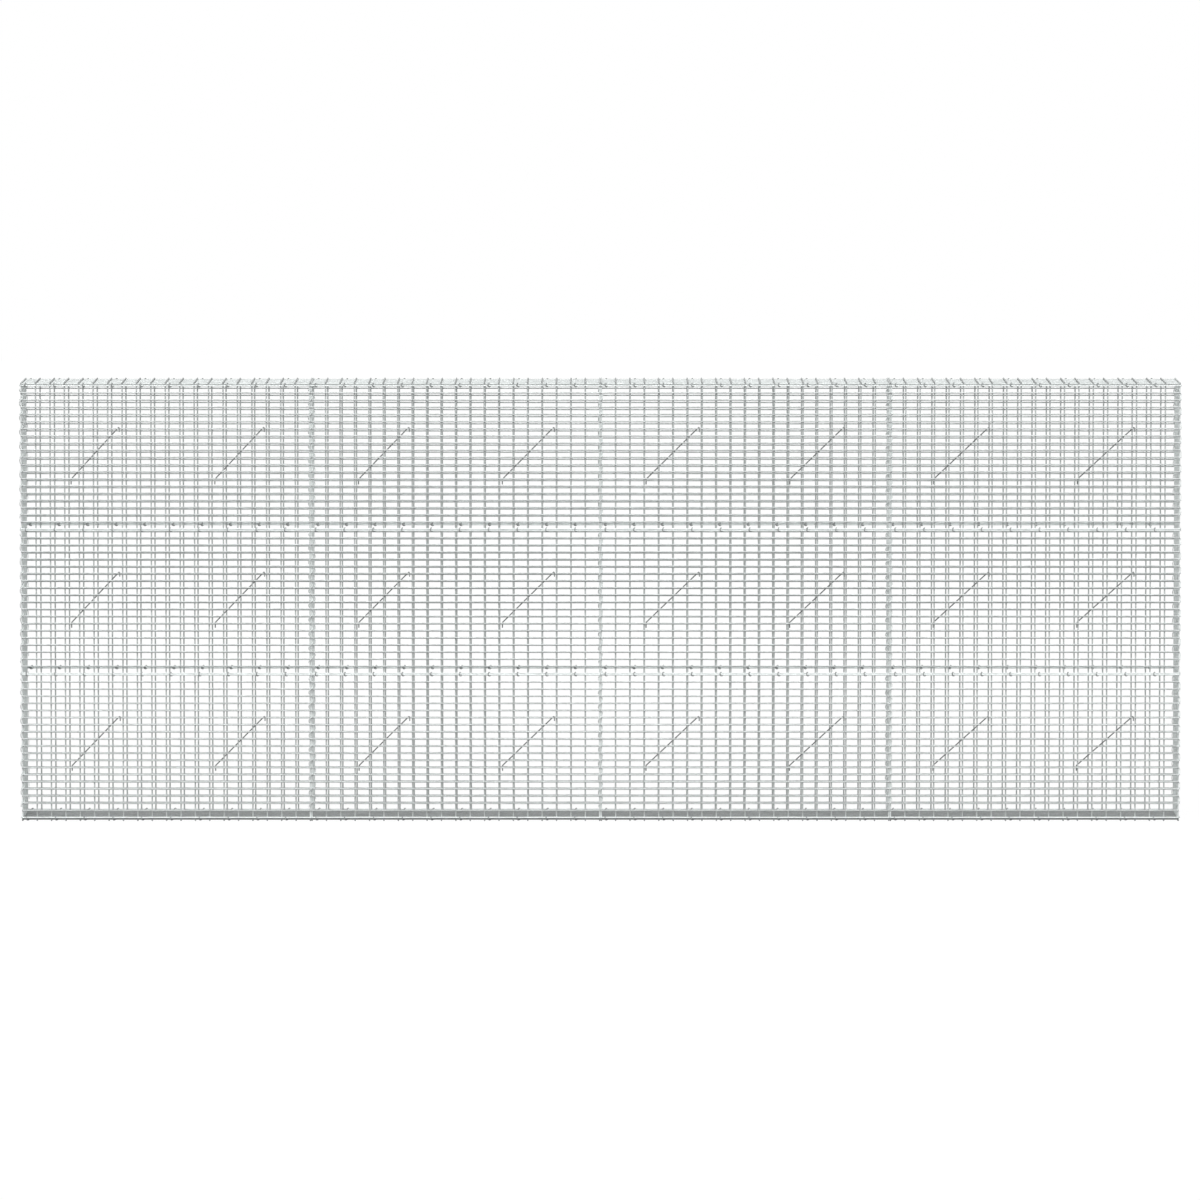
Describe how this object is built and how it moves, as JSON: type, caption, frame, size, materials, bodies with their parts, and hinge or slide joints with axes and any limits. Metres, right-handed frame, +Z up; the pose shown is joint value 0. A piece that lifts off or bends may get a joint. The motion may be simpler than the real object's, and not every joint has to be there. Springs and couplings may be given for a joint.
{
  "type": "gabion fence",
  "caption": "Long, low run of empty welded-mesh stone baskets with covers, bound by spirals and held to width by hooked ties.",
  "frame": {"origin": "on the floor, at the centre of the fence's length and depth", "axes": "+X along the fence to the right seen from the front, +Y from the front mesh to the back mesh, +Z up"},
  "size_m": [4.0096, 0.3098, 1.52],
  "materials": {
    "mesh_wire": "galvanised, dull grey",
    "spiral_wire": "galvanised",
    "tie_wire": "bright galvanised"
  },
  "bodies": {
    "root": {"back_panel_row1_bay1": "mesh_wire", "back_panel_row1_bay2": "mesh_wire", "back_panel_row1_bay3": "mesh_wire", "back_panel_row1_bay4": "mesh_wire", "back_panel_row2_bay1": "mesh_wire", "back_panel_row2_bay2": "mesh_wire", "back_panel_row2_bay3": "mesh_wire", "back_panel_row2_bay4": "mesh_wire", "back_panel_row3_bay1": "mesh_wire", "back_panel_row3_bay2": "mesh_wire", "back_panel_row3_bay3": "mesh_wire", "back_panel_row3_bay4": "mesh_wire", "base_bay1": "mesh_wire", "base_bay2": "mesh_wire", "base_bay3": "mesh_wire", "base_bay4": "mesh_wire", "cover_bay1": "mesh_wire", "cover_bay2": "mesh_wire", "cover_bay3": "mesh_wire", "cover_bay4": "mesh_wire", "front_panel_row1_bay1": "mesh_wire", "front_panel_row1_bay2": "mesh_wire", "front_panel_row1_bay3": "mesh_wire", "front_panel_row1_bay4": "mesh_wire", "front_panel_row2_bay1": "mesh_wire", "front_panel_row2_bay2": "mesh_wire", "front_panel_row2_bay3": "mesh_wire", "front_panel_row2_bay4": "mesh_wire", "front_panel_row3_bay1": "mesh_wire", "front_panel_row3_bay2": "mesh_wire", "front_panel_row3_bay3": "mesh_wire", "front_panel_row3_bay4": "mesh_wire", "left_end_row1": "mesh_wire", "left_end_row2": "mesh_wire", "left_end_row3": "mesh_wire", "right_end_row1": "mesh_wire", "right_end_row2": "mesh_wire", "right_end_row3": "mesh_wire", "seam_coils_1": "spiral_wire", "seam_coils_2": "spiral_wire", "seam_coils_3": "spiral_wire", "seam_coils_4": "spiral_wire", "seam_coils_5": "spiral_wire", "ties_row1": "tie_wire", "ties_row2": "tie_wire", "ties_row3": "tie_wire"}
  },
  "joints": []
}
